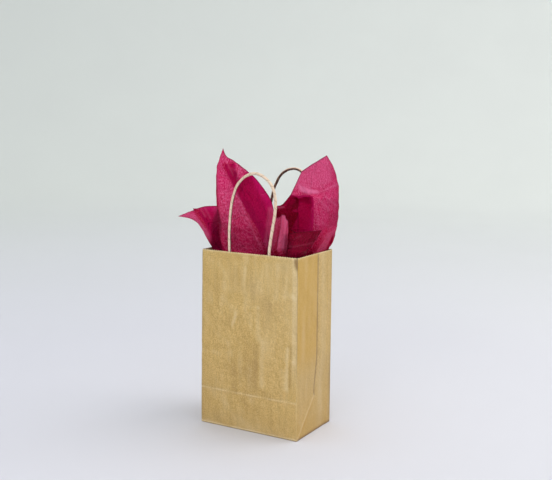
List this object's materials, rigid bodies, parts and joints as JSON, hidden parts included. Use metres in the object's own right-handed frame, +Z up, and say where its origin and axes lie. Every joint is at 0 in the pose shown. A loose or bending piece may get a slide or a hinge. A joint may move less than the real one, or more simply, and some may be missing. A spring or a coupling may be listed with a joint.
{
  "type": "gift bag",
  "caption": "Upright gold kraft paper gift bag with a flat block bottom, twisted paper cord handles and gathered crimson tissue paper.",
  "frame": {"origin": "centre of the flat base, where the bag stands on a surface", "axes": "+X runs across the front panel towards the gusset with the side seam, -Y faces the front and +Z is up towards the rim"},
  "size_m": [0.1855, 0.1015, 0.3274],
  "materials": {
    "kraft_paper": "satin",
    "patch_paper": "matte",
    "glue": "satin",
    "cord": "matte",
    "tissue": "matte"
  },
  "bodies": {
    "bag": {"front_panel": "kraft_paper", "rear_panel": "kraft_paper", "left_gusset": "kraft_paper", "right_gusset": "kraft_paper", "side_seam_lap": "kraft_paper", "side_seam_glue": "glue", "bottom_rear_flap": "kraft_paper", "bottom_front_flap": "kraft_paper", "bottom_left_tuck": "kraft_paper", "bottom_right_tuck": "kraft_paper", "bottom_glue": "glue", "front_patch_backing": "patch_paper", "front_patch_glue": "glue", "front_patch_cover": "patch_paper", "front_handle_legs": "cord", "rear_patch_backing": "patch_paper", "rear_patch_glue": "glue", "rear_patch_cover": "patch_paper", "rear_handle_legs": "cord"},
    "front_handle": {"front_handle_loop": "cord"},
    "rear_handle": {"rear_handle_loop": "cord"},
    "left_tissue": {"left_tissue_sheet": "tissue"},
    "right_tissue": {"right_tissue_sheet": "tissue"}
  },
  "joints": [
    {"name": "front_handle_swing", "type": "hinge", "parent": "bag", "child": "front_handle", "pos_m": [0, -0.039, 0.2155], "axis": [1, 0, 0], "range_deg": [0, 99]},
    {"name": "rear_handle_swing", "type": "hinge", "parent": "bag", "child": "rear_handle", "pos_m": [0, 0.039, 0.2155], "axis": [-1, 0, 0], "range_deg": [-12, 83]},
    {"name": "left_tissue_lift", "type": "slide", "parent": "bag", "child": "left_tissue", "axis": [0, 0, 1], "range_m": [0, 0.2]},
    {"name": "right_tissue_lift", "type": "slide", "parent": "bag", "child": "right_tissue", "axis": [0, 0, 1], "range_m": [0, 0.2]}
  ]
}
